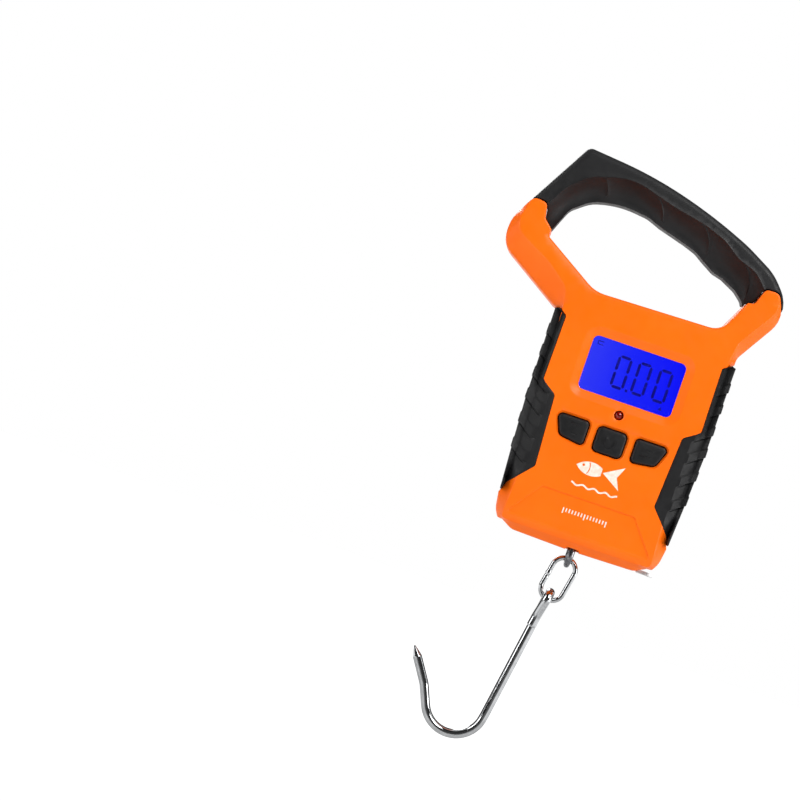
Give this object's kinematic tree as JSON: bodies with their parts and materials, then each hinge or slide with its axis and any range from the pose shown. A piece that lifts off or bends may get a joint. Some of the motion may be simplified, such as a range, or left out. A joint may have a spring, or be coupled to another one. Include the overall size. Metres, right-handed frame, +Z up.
{
  "type": "digital fish scale",
  "caption": "Hand-held hanging scale with a side-offset D handle, lit digital display, rubber keys, pull-out tape and a long J hook on a chain link.",
  "frame": {"origin": "on the load line, in the middle of the handle's top bar, where the hand holds it", "axes": "+Z up as the scale hangs from the hand, the display faces -Y, +X to the reader's right"},
  "size_m": [0.1173, 0.0287, 0.2488],
  "materials": {
    "orange_abs": "moulded ABS, semi-gloss",
    "black_rubber": "moulded thermoplastic rubber, satin",
    "black_abs": "moulded, matte",
    "black_key": "moulded rubber keys, satin",
    "clear_lens": "clear acrylic window, polished",
    "lcd_glass": "liquid crystal cell",
    "blue_backlight": "lit blue light guide",
    "zebra_rubber": "elastomer connector, banded",
    "green_board": "printed board with solder mask",
    "chip_black": "epoxy package, matte",
    "red_led": "tinted epoxy, polished",
    "battery_wrap": "printed film over steel can",
    "nickel_steel": "nickel plated spring steel",
    "zinc_steel": "bright zinc plate",
    "cell_aluminium": "machined",
    "gauge_foil": "foil on amber film",
    "bright_steel": "polished plated steel wire",
    "white_abs": "moulded, matte",
    "spring_steel": "blued strip",
    "tape_yellow": "lacquered steel tape"
  },
  "bodies": {
    "housing": {"front_shell": "orange_abs", "rear_shell": "orange_abs", "handle_grip": "black_rubber", "left_side_grip": "black_rubber", "right_side_grip": "black_rubber", "housing_screws": "zinc_steel", "display_lens": "clear_lens", "lcd_glass": "lcd_glass", "backlight_panel": "blue_backlight", "lcd_holder": "black_abs", "zebra_strip": "zebra_rubber", "main_board": "green_board", "board_screws": "zinc_steel", "tact_switches": "black_abs", "controller_chip": "chip_black", "buzzer": "black_abs", "led_indicator": "red_led", "battery_upper": "battery_wrap", "battery_lower": "battery_wrap", "battery_springs": "nickel_steel", "battery_plates": "nickel_steel", "battery_cover_pin": "zinc_steel", "load_cell": "cell_aluminium", "strain_gauges": "gauge_foil", "load_cell_bracket": "zinc_steel", "load_cell_screws": "zinc_steel", "load_loop": "bright_steel", "tape_case": "white_abs", "tape_case_cover": "white_abs", "tape_axle": "zinc_steel", "tape_spring": "spring_steel"},
    "mode_key": {"button_mode": "black_key"},
    "power_key": {"button_power": "black_key"},
    "unit_key": {"button_unit": "black_key"},
    "battery_door": {"battery_cover": "orange_abs"},
    "tape_end": {"tape_blade": "tape_yellow", "tape_tab": "bright_steel", "tape_tab_rivets": "zinc_steel"},
    "tape_reel": {"tape_spool": "white_abs", "tape_coil": "tape_yellow"},
    "link": {"chain_link": "bright_steel"},
    "hook_body": {"hook": "bright_steel"}
  },
  "joints": [
    {"name": "mode_press", "type": "slide", "parent": "housing", "child": "mode_key", "axis": [0, 1, 0], "range_m": [0, 0.0008], "stiffness_N_per_m": 300, "springref_m": -0.001},
    {"name": "power_press", "type": "slide", "parent": "housing", "child": "power_key", "axis": [0, 1, 0], "range_m": [0, 0.0008], "stiffness_N_per_m": 300, "springref_m": -0.001},
    {"name": "unit_press", "type": "slide", "parent": "housing", "child": "unit_key", "axis": [0, 1, 0], "range_m": [0, 0.0008], "stiffness_N_per_m": 300, "springref_m": -0.001},
    {"name": "battery_cover_hinge", "type": "hinge", "parent": "housing", "child": "battery_door", "pos_m": [0, 0.01285, -0.0612], "axis": [1, 0, 0], "range_deg": [0, 80]},
    {"name": "tape_pull", "type": "slide", "parent": "housing", "child": "tape_end", "axis": [0, 0, -1], "range_m": [0, 0.035], "stiffness_N_per_m": 20, "springref_m": -0.06},
    {"name": "tape_reel_turn", "type": "hinge", "parent": "housing", "child": "tape_reel", "pos_m": [0.0206, 0, -0.118], "axis": [0, 1, 0], "range_deg": [0, 275]},
    {"name": "link_swing", "type": "hinge", "parent": "housing", "child": "link", "pos_m": [0, 0, -0.1499], "axis": [0, 1, 0], "range_deg": [-60, 45]},
    {"name": "hook_swing", "type": "hinge", "parent": "link", "child": "hook_body", "pos_m": [-0.00312, 0, -0.16595], "axis": [0.9816, 0, -0.1908], "range_deg": [-70, 70]}
  ],
  "couplings": [
    {"joint": "tape_reel_turn", "follows": "tape_pull", "rad_per_m": 135.13}
  ]
}
